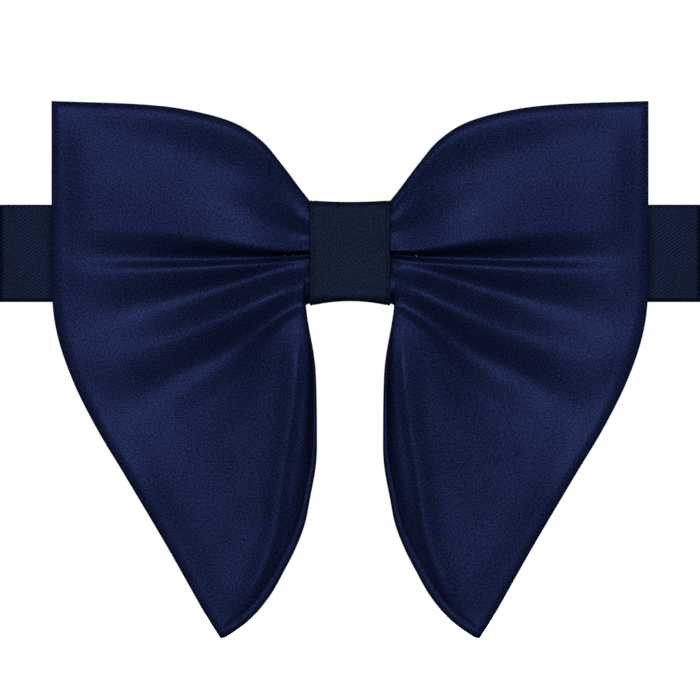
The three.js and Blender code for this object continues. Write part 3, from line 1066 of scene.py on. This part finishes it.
    def seam(self, edges: Edges, fill: np.ndarray) -> np.ndarray:
        """The sewn groove along the tail's inner edge, and the lip rolled back beyond it.

        Args:
            edges: The distances from the wing's edges.
            fill: The rounded edge's fullness in each column.

        Returns:
            The change of depth, in millimetres.
        """
        line, width = self.seam_inset, self.seam_width
        groove = -self.seam_depth * np.exp(-(((edges.inner - line) / width) ** 2))
        roll = -self.seam_roll * smoothstep(line + width, line - width, edges.inner) * fill
        return (groove + roll) * smoothstep(3.0, 9.0, edges.mouth) * smoothstep(1.0, 6.0, edges.outer)

    def spread(self, reach: Reach, edges: Edges) -> np.ndarray:
        """Where an effect is at its full size, from 0 at the edges to 1 within."""
        opening = 1 - np.exp(-edges.mouth / self.OPENS)
        hollow = edges.mouth / self.HOLLOWS * np.exp(1 - edges.mouth / self.HOLLOWS)
        top = self.rise(edges.top, reach.top + reach.hollow * hollow)
        inner = self.rise(edges.inner, reach.inner + reach.opening * opening)
        return top * inner * self.rise(edges.outer, reach.outer)

    def outline_area(self) -> float:
        """The area inside the wing's outline, in square millimetres."""
        share = np.linspace(0.0, 1.0, self.OUTLINE_SAMPLES)
        zero, one = np.zeros_like(share), np.ones_like(share)
        sides = (
            self.patch(share, zero),
            self.patch(one, share),
            self.patch(share[::-1], one),
            self.patch(zero, share[::-1]),
        )
        x, z = np.vstack(sides).T
        return 0.5 * abs(float(np.sum(x * np.roll(z, -1) - np.roll(x, -1) * z)))

    def rise(self, gap: np.ndarray, reach: float | np.ndarray) -> np.ndarray:
        """A share that rises smoothly from 0 at the rounded rim to 1 over a reach."""
        return 1 - np.exp(-((np.maximum(gap - self.edge_radius / 2, 0) / reach) ** 2))

    def pleats(self, v: np.ndarray, from_mouth: np.ndarray) -> np.ndarray:
        """Small gathers at the mouth that die out over the first stretch of the wing."""
        seeds = np.random.default_rng(self.SEEDS[self.side])
        total = np.zeros_like(v)
        for count in (3, 5):
            phase = seeds.uniform(0, math.tau)
            reach = 40.0 / count
            total += (1.0 / count) * np.sin(math.tau * count * v + phase) * np.exp(-from_mouth / reach)
        return total

    def with_neck(self, points: np.ndarray) -> np.ndarray:
        """Adds the gathered neck inside the knot before the mouth's row."""
        mouth = points[0]
        half = (self.mouth_top - self.mouth_bottom) / 2
        centre = (self.mouth_top + self.mouth_bottom) / 2
        depth = np.clip(mouth[:, 1] - self.seam_y, -self.neck_depth, self.neck_depth)
        neck = np.repeat(mouth[None], self.NECK_ROWS, axis=0)
        places = np.linspace(self.neck_start, self.mouth_x - self.neck_gap, self.NECK_ROWS)
        neck[..., 0] = places[:, None]
        neck[..., 1] = self.seam_y + depth
        neck[..., 2] = (mouth[:, 2] - centre) * self.neck_half / half
        return np.vstack([neck, points])

    def inset(self, points: np.ndarray, by: float, facing: float) -> np.ndarray:
        """A face moved inwards, to the seam at most; it faces -1 (front) or 1 (back)."""
        out = points.copy()
        limit = np.maximum if facing > 0 else np.minimum
        out[..., 1] = limit(points[..., 1] - facing * by, self.seam_y)
        return out

    def build(self) -> None:
        """Makes the two leaves and the interlining and puts them on the frame."""
        word = self.side.word
        area = self.outline_area() * self.fullness * MM * MM
        margin = self.leaf_thickness + self.inner_gap
        keep = self.ROUND + 2
        inside = []
        for (which, facing), points in zip(self.FACING.items(), self.surfaces()):
            skin = points * (self.side.value, 1.0, 1.0)
            skin[..., 1] += facing * self.seam_gap
            outer = thinned(skin, self.SKIP[which])
            inner = self.inset(outer, self.leaf_thickness, facing)
            piece = joined_skins(f"{word}_{which}_leaf", outer, inner, outer[..., (0, 2)])
            self.wardrobe.place(piece, WING_SATIN, f"{word}_wing_{which}_leaf", "bow")
            face = self.inset(skin, margin, facing)[:-keep, keep:-keep]
            inside.append(thinned(face, self.SKIP["inside"]))
        padding = joined_skins(f"{word}_interlining", *inside, inside[0][..., (0, 2)])
        self.wardrobe.place(padding, FELT, f"{word}_wing_interlining", "bow")


# ---------------------------------------------------------------- knot


@dataclass
class Knot:
    """A band closed round the middle: the wrap that shows, or the interfacing under it."""

    wardrobe: Wardrobe
    name: str = "knot_wrap_band"
    node: str = "knot_wrap"
    finish: Cloth | Felt = KNOT_TWILL
    lies_on: str = "strap_front_sleeve"
    side_gap: float = -0.3
    wall: float = 0.8
    corner: float = 2.0
    crown: float = 0.45
    waist_below: float = 1.2
    waist_above: float = 0.4
    drop_below: float = 0.7
    rise_above: float = 0.3
    hem_inset: float = 0.75
    hem_width: float = 0.16
    hem_groove: float = 0.16
    STEPS = 160
    ACROSS = 110
    ROLL_STEPS = 9
    AROUND = (0.2, 1.0)  # how squarely a face turns before it crowns or draws in
    FRONT = 0.3  # how squarely the front faces forward, where the weave runs straight up

    def loop(self, half_depth: float, half_height: float) -> np.ndarray:
        """The section's outline, counted round.

        Args:
            half_depth: Half its size along Y.
            half_height: Half its size along Z.

        Returns:
            One row for each step: y, z and the outward direction's y and z.
        """
        total = 2 * math.pi * self.corner + 4 * (half_depth + half_height - 2 * self.corner)
        places = [total * k / self.STEPS for k in range(self.STEPS)]
        return np.array([self._on_outline(place, half_depth, half_height) for place in places])

    def _on_outline(self, left: float, half_depth: float, half_height: float) -> tuple[float, ...]:
        """The point a distance along a rounded rectangle, and its outward direction."""
        arc = self.corner * math.pi / 2
        for quarter in range(4):
            facing = quarter * math.pi / 2
            out = (math.cos(facing), math.sin(facing))
            reach, half = (half_depth, half_height) if quarter % 2 == 0 else (half_height, half_depth)
            half -= self.corner
            if left <= 2 * half:
                move = left - half
                return (out[0] * reach - out[1] * move, out[1] * reach + out[0] * move, *out)
            left -= 2 * half
            if left <= arc:
                angle = facing + left / self.corner
                turned_out = (math.cos(angle), math.sin(angle))
                reach -= self.corner
                y = out[0] * reach - out[1] * half + self.corner * turned_out[0]
                z = out[1] * reach + out[0] * half + self.corner * turned_out[1]
                return (y, z, *turned_out)
            left -= arc
        raise ValueError("the distance is longer than the outline")

    def profile(self, half_width: float) -> np.ndarray:
        """The band's layer across its width, round its rolled edges.

        Args:
            half_width: Half the band's width.

        Returns:
            One row for each point: x, and the depth below the outer face as a negative number.
        """
        roll = self.wall / 2
        flat = np.linspace(-1, 1, self.ACROSS) * (half_width - roll)
        turn = np.linspace(math.pi / 2, -math.pi / 2, self.ROLL_STEPS)[1:-1]
        right = [(half_width - roll + roll * math.cos(a), -roll + roll * math.sin(a)) for a in turn]
        outer = [(x, 0.0) for x in flat]
        inner = [(x, -self.wall) for x in flat[::-1]]
        left = [(-x, y) for x, y in right[::-1]]
        return np.array(outer + right + inner + left)

    def build(self) -> None:
        """Makes the band and puts it on the frame."""
        low, high = box_mm(self.node)
        half_width, half_depth, half_height = (high - low) / 2
        half_width -= self.side_gap
        middle = (low + high) / 2
        loop = self.loop(half_depth, half_height)
        profile = self.profile(half_width)
        y, z, ny, nz = loop.T[:, :, None]
        x, depth = profile.T[:, None, :]
        bulge = 1 - (x / half_width) ** 2
        crown = self.crown * bulge * smoothstep(*self.AROUND, -ny)
        from_hem = half_width - np.abs(x) - self.hem_inset
        hem = -self.hem_groove * np.exp(-((from_hem / self.hem_width) ** 2))
        offset = depth + crown + hem * (depth > -0.5 * self.wall)
        points = np.stack(
            [
                x + 0 * y,
                middle.y + y + ny * offset,
                middle.z + z + nz * offset + self.pinch(nz, bulge),
            ],
            axis=-1,
        )
        run = np.arange(self.STEPS)[:, None] * (6 * half_height / self.STEPS)
        cloth = np.stack([points[..., 0], np.where(ny < -self.FRONT, points[..., 2], run)], axis=-1)
        faces = grid_faces(*points.shape[:2], True, True)
        band = make_mesh(self.name, points.reshape(-1, 3), faces, cloth.reshape(-1, 2))
        face_outward(band)
        self.wardrobe.place(band, self.finish, self.node, "bow")
        around = 4 * (half_depth + half_height) - 8 * self.corner + math.tau * self.corner
        flat = (2 * half_width * MM, around * MM)

    def pinch(self, nz: np.ndarray, bulge: np.ndarray) -> np.ndarray:
        """How far the top and bottom edges flare at their ends and draw in at mid width."""
        below = smoothstep(*self.AROUND, -nz) * (self.waist_below * bulge - self.drop_below)
        above = smoothstep(*self.AROUND, nz) * (self.waist_above * bulge - self.rise_above)
        return below - above


@dataclass
class Winding:
    """The thread wound round the gathered necks of the wings."""

    wardrobe: Wardrobe
    thread: float = 0.34
    turns: int = 9
    corner: float = 1.4
    SKIP = 3

    def build(self) -> None:
        """Winds one thread from side to side of the binding."""
        low, high = box_mm("gather_binding")
        half_width, half_depth, half_height = (high - low) / 2 - Vector((self.thread,) * 3)
        middle = (low + high) / 2
        loop = Knot(self.wardrobe, corner=self.corner).loop(half_depth, half_height)
        wound = np.vstack([loop] * self.turns)
        x = middle.x + np.linspace(-half_width, half_width, len(wound))
        line = np.stack([x, middle.y + wound[:, 0], middle.z + wound[:, 1]], axis=-1)
        piece = tube("gather_thread", line[:: self.SKIP], self.thread, np.array([1.0, 0.0, 0.0]))
        self.wardrobe.place(piece, NAVY_THREAD, "gather_binding", "bow")


# ---------------------------------------------------------------- strap


@dataclass
class Ribbon:
    """A flat band of cloth swept along a path in XY, standing on edge along Z."""

    name: str
    width: float
    thickness: float
    end_thickness: float | None = None
    nip: float = 0.0
    nip_reach: float = 10.0
    slack: float = 0.0
    rings: int = 26
    NIP_BLEND = 5.0
    CALM_END = 8.0
    WAVE_PACE = 0.21
    WAVE_TWIST = (2.1, 0.6)
    INSIDE = 0.999  # keeps the flats' last points clear of the edges' first

    def section(self) -> np.ndarray:
        """The band's outline: shares of half the thickness and of half the width."""
        edge = self.rings // 3
        turn = np.linspace(0, math.pi, edge + 1)[:-1]
        flat = np.linspace(0, 1, self.rings)[1:] * self.INSIDE
        thin = self.thickness / self.width
        out = [(math.cos(a), 1 - thin + thin * math.sin(a)) for a in turn]
        out += [(-1.0, (1 - thin) * (1 - 2 * f)) for f in flat]
        out += [(-math.cos(a), -(1 - thin + thin * math.sin(a))) for a in turn]
        out += [(1.0, -(1 - thin) * (1 - 2 * f)) for f in flat]
        return np.array(out)

    def build(self, path: np.ndarray) -> bpy.types.Object:
        """Sweeps the band.

        Args:
            path: The middle line's (x, y) points, evenly close together.

        Returns:
            The closed piece.
        """
        tangent = np.gradient(path, axis=0)
        tangent /= np.linalg.norm(tangent, axis=1)[:, None]
        normal = np.stack([-tangent[:, 1], tangent[:, 0]], axis=1)
        steps = np.linalg.norm(np.diff(path, axis=0), axis=1)
        run = np.concatenate([[0.0], np.cumsum(steps)])
        section = self.section()
        last = self.thickness if self.end_thickness is None else self.end_thickness
        thick = np.interp(run, [0, run[-1]], [self.thickness, last])[:, None] / 2
        middle = smoothstep(self.nip_reach, self.nip_reach + self.NIP_BLEND, np.abs(path[:, :1]))
        half = self.width / 2 * (1 - self.nip * (1 - middle))
        across = section[None, :, 1]
        twist, lead = self.WAVE_TWIST
        wave = self.slack * np.sin(run * self.WAVE_PACE)[:, None] * np.sin(across * twist + lead)
        calm = smoothstep(0, self.CALM_END, run) * smoothstep(0, self.CALM_END, run[-1] - run)
        offset = section[None, :, 0] * thick + wave * calm[:, None]
        x, y = (path[:, k : k + 1] + normal[:, k : k + 1] * offset for k in range(2))
        points = np.stack([x, y, across * half], axis=-1)
        along = np.broadcast_to(run[:, None] + path[0, 0], x.shape)
        return swept(self.name, points, np.stack([along, points[..., 2]], axis=-1))


def straight(start: tuple[float, float], end: tuple[float, float], step: float = 1.2) -> np.ndarray:
    """Even points along a straight line in XY."""
    count = max(4, int(math.dist(start, end) / step))
    return np.linspace(start, end, count)


def turned(
    centre: tuple[float, float],
    radius: float,
    first: float,
    last: float,
    count: int = 28,
) -> np.ndarray:
    """Points along an arc in XY, by angles in degrees."""
    angle = np.radians(np.linspace(first, last, count))
    return np.stack([centre[0] + radius * np.cos(angle), centre[1] + radius * np.sin(angle)], axis=1)


@dataclass
class Strap:
    """The neck strap: front run, side bends, back runs and sewn loops."""

    wardrobe: Wardrobe
    nip: float = 0.2
    nip_reach: float = 10.2
    overlap: float = 0.3
    flap: float = 11.0
    hook_flap: float = 3.0
    front_hold: float = 1.2
    run_hold: float = 0.8
    bar_room: float = 0.1
    stitches: int = 34
    thread: float = 0.28
    thread_sink: float = 0.1
    thread_inset: float = 0.15
    FINE = 0.6
    width: float = field(init=False)
    padded: float = field(init=False)
    thin: float = field(init=False)
    front_y: float = field(init=False)
    run_y: float = field(init=False)
    bend_x: float = field(init=False)
    run_end: float = field(init=False)

    def __post_init__(self) -> None:
        """Reads the strap's sizes and places from the frame."""
        low, high = box_mm("strap_front_sleeve")
        self.width = high.z - low.z
        self.padded = high.y - low.y
        self.front_y = (low.y + high.y) / 2
        low, high = box_mm("left_strap_run")
        self.thin = high.y - low.y
        self.run_y = (low.y + high.y) / 2
        self.bend_x = -low.x + self.overlap
        self.run_end = high.x + self.overlap

    def build(self) -> None:
        """Makes every stretch of the strap."""
        self.front_run()
        for side in Side:
            self.bend(side)
        self.left_run()
        self.right_run()
        self.slider_side()

    def place(
        self,
        piece: bpy.types.Object,
        node: str,
        length: float,
        held: str,
        body: str | None = None,
    ) -> None:
        """Dresses a piece of the strap and puts it on the frame.

        Args:
            piece: The new piece.
            node: The node of the frame that it stands for.
            length: Its cut length in millimetres.
            held: How the cloth is held; not used.
            body: The body that it rides on, or None where it rides on no body.
        """
        self.wardrobe.place(piece, STRAP_SATIN, node, body)
        self.width * MM
        length * MM

    def blend(
        self,
        piece: bpy.types.Object,
        start: tuple[float, float],
        end: tuple[float, float],
    ) -> None:
        """Bakes a piece's placing into its mesh; it takes the ends of a stretch in XY, given in
        millimetres.
        """
        first, last = ((x * MM, y * MM, 0.0) for x, y in (start, end))
        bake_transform(piece)

    def turn_in(self, node: str, side: Side) -> tuple[float, float]:
        """How a sewn loop turns round its bar.

        Args:
            node: The loop's node, or the run that ends in it.
            side: The side of the node's box that the bar is at.

        Returns:
            The turn's radius and the bar's X.
        """
        low, high = box_mm(node)
        radius = (high.y - low.y - self.thin) / 2
        if side is Side.RIGHT:
            return radius, high.x - radius - self.thin / 2
        return radius, low.x + radius + self.thin / 2

    def folded(
        self,
        turn: tuple[float, float],
        y: float,
        ends: tuple[float, float],
        steps: tuple[float, float],
    ) -> np.ndarray:
        """A path in XY to a bar, round it, and back above itself.

        Args:
            turn: The turn's radius and the bar's X.
            y: The Y that the path comes in on.
            ends: The X where it starts and the X where it ends.
            steps: How far apart its points are on the way in and on the way back.

        Returns:
            The path's points.
        """
        radius, bar = turn
        from_right = ends[0] > bar
        near = bar + (self.bar_room if from_right else -self.bar_room)
        back = y + 2 * radius
        return np.vstack(
            [
                straight((ends[0], y), (near, y), steps[0]),
                turned((bar, y + radius), radius, 270 if from_right else -90, 90),
                straight((near, back), (ends[1], back), steps[1]),
            ]
        )

    def front_run(self) -> None:
        """The padded run behind the bow, nipped in where it goes through the knot."""
        nip = {"nip": self.nip, "nip_reach": self.nip_reach}
        y = self.front_y
        ribbon = Ribbon("strap_front", self.width, self.padded, slack=0.1, **nip)
        piece = ribbon.build(straight((-self.bend_x, y), (self.bend_x, y), 0.8))
        self.place(piece, "strap_front_sleeve", 2 * self.bend_x, "stretched", "bow")
        low, high = box_mm("strap_front_interlining")
        width, y = high.z - low.z, (low.y + high.y) / 2
        inner = Ribbon("strap_front_inner_ribbon", width, high.y - low.y, **nip)
        piece = inner.build(straight((low.x, y), (high.x, y), 1.6))
        self.wardrobe.place(piece, FELT, "strap_front_interlining", "bow")

    def bend(self, side: Side) -> None:
        """The half turn beside the neck."""
        radius = (self.run_y - self.front_y) / 2
        x = side.value * self.bend_x
        first = -90 if side is Side.RIGHT else 270
        path = turned((x, self.front_y + radius), radius, first, 90, count=48)
        ribbon = Ribbon(f"{side.word}_strap_turn", self.width, self.padded, end_thickness=self.thin)
        piece = ribbon.build(path)
        start, end = (x, self.front_y + self.front_hold), (x, self.run_y - self.run_hold)
        self.blend(piece, start, end)
        self.place(piece, f"{side.word}_strap_bend", math.pi * radius, "folded")

    def left_run(self) -> None:
        """The back run that the adjuster lengthens, and the loop that holds the hook."""
        start, end = (-self.bend_x, self.run_y), (self.run_end, self.run_y)
        piece = Ribbon("left_back_run", self.width, self.thin, slack=0.06).build(straight(start, end))
        self.blend(piece, start, end)
        self.place(piece, "left_strap_run", end[0] - start[0], "stretched")
        turn = self.turn_in("hook_loop", Side.RIGHT)
        path = self.folded(turn, self.run_y, (self.run_end, self.run_end), (0.5, 0.5))
        loop = Ribbon("hook_ribbon_loop", self.width, self.thin).build(path)
        self.place(loop, "hook_loop", math.pi * turn[0] + 2 * self.hook_flap, "folded", "strap_end")

    def right_run(self) -> None:
        """The back run that ends in the eye's sewn loop."""
        radius, bar = turn = self.turn_in("right_strap_run", Side.LEFT)
        path = self.folded(turn, self.run_y, (self.bend_x, bar + self.flap), (1.2, self.FINE))
        piece = Ribbon("right_back_run", self.width, self.thin, slack=0.05).build(path)
        length = self.bend_x - bar + math.pi * radius + self.flap
        self.place(piece, "right_strap_run", length, "folded", "right_strap")
        self.tack("eye_loop_stitches", "eye_loop_tack", "right_strap")

    def slider_side(self) -> None:
        """The doubled-back return and the loop sewn round the slider's bar."""
        low, high = box_mm("left_strap_return")
        y = (low.y + high.y) / 2
        start, end = (low.x - self.overlap, y), (high.x + self.overlap, y)
        ribbon = Ribbon("left_return_run", self.width, self.thin)
        piece = ribbon.build(straight(start, end, self.FINE))
        self.blend(piece, end, start)
        self.place(piece, "left_strap_return", end[0] - start[0], "stretched")
        radius, bar = turn = self.turn_in("slider_loop", Side.LEFT)
        far = box_mm("slider_loop")[1].x
        path = self.folded(turn, y, (start[0], far), (self.FINE, self.FINE))
        loop = Ribbon("slider_ribbon_loop", self.width, self.thin).build(path)
        self.place(loop, "slider_loop", 2 * (far - bar) + math.pi * radius, "folded", "slider")
        self.tack("slider_loop_stitches", "slider_loop_tack", "slider")

    def tack(self, name: str, node: str, body: str) -> None:
        """A dense zigzag of thread that closes a sewn loop.

        Args:
            name: The new piece's name.
            node: The plain solid that it stands for.
            body: The body that it rides on.
        """
        low, high = box_mm(node)
        sides = (low.x + self.thread_inset, high.x - self.thread_inset)
        rise = (high.z - low.z) / self.stitches
        zigzag = [
            (sides[k % 2], low.y - self.thread_sink, low.z + rise * k) for k in range(self.stitches + 1)
        ]
        line = SmoothCurve(zigzag, per_span=8).points
        piece = tube(name, line, self.thread, np.array([0.0, 1.0, 0.0]))
        self.wardrobe.place(piece, NAVY_THREAD, node, body)


# ---------------------------------------------------------------- metal pieces


@dataclass
class Hardware:
    """The plated hook, eye and slider."""

    wardrobe: Wardrobe
    frame: dict
    edge: float = 0.25
    edge_steps: int = 3
    sharp: float = 40.0
    BODIES = {"hook": "hook", "eye": "eye", "slider_frame": "slider"}

    def build(self) -> None:
        """Makes each metal piece with its edges rounded."""
        for node, body in self.BODIES.items():
            mesh = self.frame["nodes"][node].data.copy()
            mesh.polygons.foreach_set("use_smooth", [True] * len(mesh.polygons))
            piece = bpy.data.objects.new(f"{node}_plated", mesh)
            bpy.context.scene.collection.objects.link(piece)
            bevel = piece.modifiers.new("rounded_edges", "BEVEL")
            bevel.width = self.edge * MM
            bevel.segments = self.edge_steps
            bevel.limit_method = "ANGLE"
            bevel.angle_limit = math.radians(self.sharp)
            bevel.harden_normals = True
            self.wardrobe.place(piece, NICKEL, node, body)


# ---------------------------------------------------------------- studio


@dataclass
class Studio:
    """A pale floor, soft light and the camera."""

    view_width: float = 175.9
    centre_z: float = -24.5
    distance: float = 1500.0
    floor_gap: float = 30.0
    floor_half: float = 800.0
    floor_grey: float = 0.17
    sensor: float = 36.0
    bow_front: float = 10.0
    # where each softbox hangs, its side, and its power in watts
    LIGHTS = {
        "key_softbox": ((-10, -1250, 270), 600, 94.0),
        "back_softbox": ((0, 1250, 820), 900, 160.0),
        "left_softbox": ((-1350, 150, 450), 700, 45.0),
        "right_softbox": ((1350, 150, 450), 700, 45.0),
    }

    def build(self) -> None:
        """Sets up the camera, the lights, the world and the floor."""
        low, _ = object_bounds()
        self.camera()
        for name, (place, size, power) in self.LIGHTS.items():
            self.light(name, place, size, power)
        self.world()
        self.floor(low.z / MM - self.floor_gap)
        bpy.context.scene.view_settings.view_transform = "Standard"

    def camera(self) -> None:
        """A long lens square to the front of the bow."""
        data = bpy.data.cameras.new("camera")
        data.sensor_width = self.sensor
        data.lens = self.sensor * (self.distance - self.bow_front) / self.view_width
        data.clip_end = 100.0
        camera = bpy.data.objects.new("camera", data)
        camera.location = (0.0, -self.distance * MM, self.centre_z * MM)
        camera.rotation_euler = (math.pi / 2, 0.0, 0.0)
        bpy.context.scene.collection.objects.link(camera)
        bpy.context.scene.camera = camera

    def light(self, name: str, place: tuple[float, ...], size: float, power: float) -> None:
        """A square softbox that faces the bow.

        Args:
            name: The light's name.
            place: Where it hangs, in millimetres.
            size: Its side in millimetres.
            power: Its power in watts.
        """
        data = bpy.data.lights.new(name, "AREA")
        data.size = size * MM
        data.energy = power
        lamp = bpy.data.objects.new(name, data)
        lamp.location = Vector(place) * MM
        aim = Vector((0, 0, self.centre_z * MM)) - lamp.location
        lamp.rotation_euler = aim.to_track_quat("-Z", "Y").to_euler()
        bpy.context.scene.collection.objects.link(lamp)

    def world(self) -> None:
        """Even white light from all round."""
        world = bpy.data.worlds.new("studio")
        world.use_nodes = True
        background = world.node_tree.nodes["Background"]
        background.inputs["Color"].default_value = (1.0, 1.0, 1.0, 1.0)
        background.inputs["Strength"].default_value = 1.0
        bpy.context.scene.world = world

    def floor(self, level: float) -> None:
        """A wide pale floor below the bow."""
        half = self.floor_half
        signs = ((-1, -1), (1, -1), (1, 1), (-1, 1))
        corners = np.array([(x * half, y * half, level) for x, y in signs])
        piece = make_mesh("floor", corners, [(0, 1, 2, 3)], corners[:, :2], smooth=False)
        graph = Graph("pale_floor")
        graph.finish({"Base Color": (*(self.floor_grey,) * 3, 1.0), "Roughness": 0.9})
        piece.data.materials.append(graph.material)
        piece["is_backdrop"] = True


def main() -> None:
    """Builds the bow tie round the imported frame."""
    logging.basicConfig(level=logging.INFO, format="%(name)s: %(message)s")
    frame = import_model()
    wardrobe = Wardrobe()
    for side in Side:
        Wing(side, wardrobe).build()
    Knot(wardrobe).build()
    Knot(
        wardrobe,
        name="knot_inner_band",
        node="knot_interfacing",
        finish=FELT,
        side_gap=2.0,
        wall=0.5,
        corner=1.6,
        crown=0.0,
        hem_groove=0.0,
    ).build()
    Winding(wardrobe).build()
    Strap(wardrobe).build()
    Hardware(wardrobe, frame).build()
    Studio().build()


if __name__ == "__main__":
    main()
